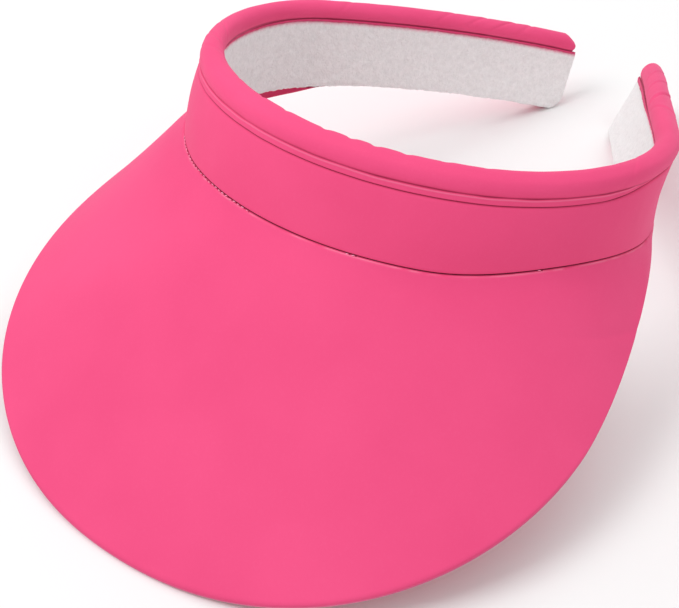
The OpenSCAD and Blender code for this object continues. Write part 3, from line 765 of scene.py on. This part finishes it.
SR = SB[:, :1]
root_z = seam_z(SR) - ROOT_DROP * thin[:, :1]
root_1, root_2 = (to_rest(wall(SR, TERRY_OUT + ROOT_IN + 0 * SR, root_z - d * thin[:, :1]))
                  for d in (0, ROOT_T))
loop = np.concatenate([root_1, UNDER_IN, UNDER[:, ::-1], root_2], 1)
luv = np.concatenate([uv_b[:, :1], uv_b, uv_b[:, ::-1], uv_b[:, :1]], 1)
# the under side's darker cloth and its small constant shade are painted shade
under_cover = grid_object("brim_under_cloth", loop, grid_normals(loop), luv, lining_shaded_mat, 0.1)
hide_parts("brim_under_cover")
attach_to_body(under_cover, "front")

# the thin welt round the rim, where the two covers are sewn together
WELT_W, WELT_OUT, WELT_H = 0.3, 0.05, 0.52
mid_d = (top_d[:, -1] + under_d[:, -1]) / 2
rim_at = brim_surface(g[:, None], np.ones((len(g), 1)), mid_d[:, None])[:, 0]
rim_n = brim_normal(g[:, None], np.ones((len(g), 1)))[:, 0]
away = unit(np.cross(rim_n, unit(np.gradient(rim_at, axis=0))))
away = away * np.sign(np.sum(away * (rim_at - brim_flat(g, 0.98 * np.ones_like(g))), -1, keepdims=True))
a = np.linspace(0, 2 * math.pi, 13)[:-1][None, :, None]
fade_w = (1 - 0.6 * smooth(0.9, 1, np.abs(g)))[:, None, None]
welt = rim_at[:, None] + fade_w * ((WELT_W * np.cos(a) + WELT_OUT) * away[:, None]
                                   + WELT_H * np.sin(a) * rim_n[:, None])
welt_ob = tube("brim_rim_welt", g * 300, to_rest(welt), welt_mat, 0.0)
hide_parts("brim_top_cover")
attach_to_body(welt_ob, "front")

# ---------------------------------------------------------------- seam stitches, lying in the crease
PITCH, PITCH_OFF = 2.2, 0.12           # from stitch to stitch, and how unevenly
STITCHED = 0.86                        # share of the brim's seam that is stitched
SINK, HIDDEN = -0.15, 0.5              # depth of a stitch that shows, and how much deeper a hidden one is
SHOWS = 0.3                            # a stitch shows, with its pinhole, above this
CAPS_T = (-1.0, -0.85, -0.45, 0.0, 0.45, 0.85, 1.0)
CAPS_R = (0.25, 0.72, 1.0, 1.05, 1.0, 0.72, 0.25)
SIDES = 8
ring_a = np.linspace(0, 2 * math.pi, SIDES + 1)[:-1]
verts, faces, mats = [], [], []


def rings(first, count, slot):
    """Quads between count rings of vertices, from number first on."""
    for i in range(count - 1):
        for j in range(SIDES):
            lo, hi, n = first + i * SIDES, first + (i + 1) * SIDES, (j + 1) % SIDES
            faces.append((lo + j, lo + n, hi + n, hi + j))
            mats.append(slot)


for i in range(-int(STITCHED * TAIL_S / PITCH), int(STITCHED * TAIL_S / PITCH) + 1):
    at = i * PITCH + RNG.uniform(-PITCH_OFF, PITCH_OFF)
    shown = (1 - smooth(-26, -6, at)) * smooth(-76, -66, at) + bell(at, 26, 1.6) + bell(at, 86, 1.6)
    gi = at / TAIL_S
    vi = (0.36 + RNG.uniform(-0.2, 0.14)) / np.linalg.norm(brim_flat(gi, 1.0) - brim_flat(gi, 0.0))
    inward = brim_normal(np.array(gi), np.array(vi))
    along = unit(brim_flat(gi + 0.003, vi) - brim_flat(gi - 0.003, vi))
    across = unit(np.cross(along, inward))
    lean = RNG.uniform(-0.35, 0.35)
    sink = SINK + HIDDEN * (1 - min(float(shown), 1))
    centre = brim_flat(np.array(gi), np.array(vi)) + inward * (sink + (HIDDEN if shown < SHOWS else 0.0))
    half, rad = RNG.uniform(0.38, 0.72), RNG.uniform(0.13, 0.19)
    first = len(verts)
    for tt, rr in zip(CAPS_T, CAPS_R):
        for an in ring_a:
            verts.append(centre + along * (tt * half)
                         + across * (tt * half * lean + rad * rr * math.cos(an))
                         - inward * (rad * rr * math.sin(an)) + inward * 0.16 * tt * tt)
    rings(first, len(CAPS_T), 0)
    faces.append(tuple(first + b for b in range(SIDES))[::-1])
    faces.append(tuple(first + (len(CAPS_T) - 1) * SIDES + b for b in range(SIDES)))
    mats += [0, 0]
    if shown < SHOWS:
        continue
    # the pinhole beside the thread
    hole = centre + along * (PITCH / 2) - inward * (sink - 0.10)
    first = len(verts)
    for rr, rise in ((0.2, 0.0), (0.15, 0.05), (0.0, 0.05)):
        for an in ring_a:
            verts.append(hole + along * (rr * math.cos(an)) + across * (rr * 1.25 * math.sin(an))
                         - inward * rise)
    rings(first, 3, 1)
stitches = mesh_object("seam_thread", to_rest(np.array(verts)), faces, np.zeros((len(verts), 2)), thread_mat)
stitches.data.materials.append(hole_shade_mat)
stitches.data.polygons.foreach_set("material_index", np.array(mats, np.int32))
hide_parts("brim_seam_stitches")
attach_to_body(stitches, "front")

# ---------------------------------------------------------------- materials of the CAD nodes themselves
CAD_MATERIALS = (("brim_board", board_mat), ("spring", strip_mat), ("foam", foam_mat), ("cord", foam_mat),
                 ("stitch", thread_mat), ("tip", lining_shaded_mat))
for name, ob in frame["nodes"].items():
    for word, material in CAD_MATERIALS:
        if word in name:
            ob.data.materials.clear()
            ob.data.materials.append(material)
            break


# ---------------------------------------------------------------- floor, camera, light
def stage_floor(half=3.0):
    me = bpy.data.meshes.new("floor")
    corners = [(-half, -half, 0), (half, -half, 0), (half, half, 0), (-half, half, 0)]
    me.from_pydata(corners, [], [(0, 1, 2, 3)])
    ob = bpy.data.objects.new("floor", me)
    bpy.context.scene.collection.objects.link(ob)
    k = Nodes("floor_paint")
    k.link(k.mix(k.math("MULTIPLY", k.noise(3.0, 2.0), 0.03), (0.93, 0.93, 0.93, 1), (0.91, 0.91, 0.91, 1)),
           k.shader.inputs["Base Color"])
    k.shader.inputs["Roughness"].default_value = 0.9
    me.materials.append(k.mat)


stage_floor()

AZ, EL, ROLL_CAM = math.radians(34.37), math.radians(35.51), math.radians(4.49)
DIST, LENS, SENSOR = 468.6, 75.18, 36.0           # camera distance, focal length, sensor, millimetres
AIM_RIGHT, AIM_UP = -9.683, 55.046                # the band's middle, from the picture's middle
back = np.array([math.sin(AZ) * math.cos(EL), -math.cos(AZ) * math.cos(EL), math.sin(EL)])
level = np.array([math.cos(AZ), math.sin(AZ), 0.0])
level_up = np.cross(back, level)
cam_right = math.cos(ROLL_CAM) * level + math.sin(ROLL_CAM) * level_up
cam_up = -math.sin(ROLL_CAM) * level + math.cos(ROLL_CAM) * level_up
eye = -AIM_RIGHT * cam_right - AIM_UP * cam_up + DIST * back
right_r, up_r, back_r = turn(cam_right), turn(cam_up), turn(back)

cam_data = bpy.data.cameras.new("camera")
cam_data.sensor_width = SENSOR
cam_data.lens = LENS
cam_data.clip_start, cam_data.clip_end = 0.01, 20
cam = bpy.data.objects.new("camera", cam_data)
axes = np.stack([right_r, up_r, back_r], 1).tolist()
cam.matrix_world = Matrix([[*row, 0] for row in axes] + [[0, 0, 0, 1]])
cam.location = Vector(to_rest(eye))
bpy.context.scene.collection.objects.link(cam)
bpy.context.scene.camera = cam

MIDDLE = Vector((0.0, -0.02, 0.05))
# name: along the camera's right and back, up (metres), size (metres), power (watts)
LIGHTS = {"key": (-1.0, 0.35, 1.25, 0.9, 11.5), "fill": (1.2, 0.9, 0.8, 1.4, 2.5),
          "top": (0.0, -0.6, 1.5, 1.6, 6.0)}
for name, (to_right, to_back, height, size, power) in LIGHTS.items():
    light = bpy.data.lights.new(name, "AREA")
    light.shape, light.size, light.energy = "SQUARE", size, power
    ob = bpy.data.objects.new(name, light)
    ob.location = MIDDLE + Vector(right_r) * to_right + Vector(back_r) * to_back + Vector((0, 0, height))
    ob.rotation_euler = (MIDDLE - ob.location).to_track_quat("-Z", "Y").to_euler()
    bpy.context.scene.collection.objects.link(ob)

world = bpy.data.worlds.new("studio")
bpy.context.scene.world = world
world.use_nodes = True
sky = world.node_tree.nodes["Background"]
sky.inputs["Color"].default_value = (1, 1, 1, 1)
sky.inputs["Strength"].default_value = 0.565
bpy.context.scene.view_settings.view_transform = "Standard"
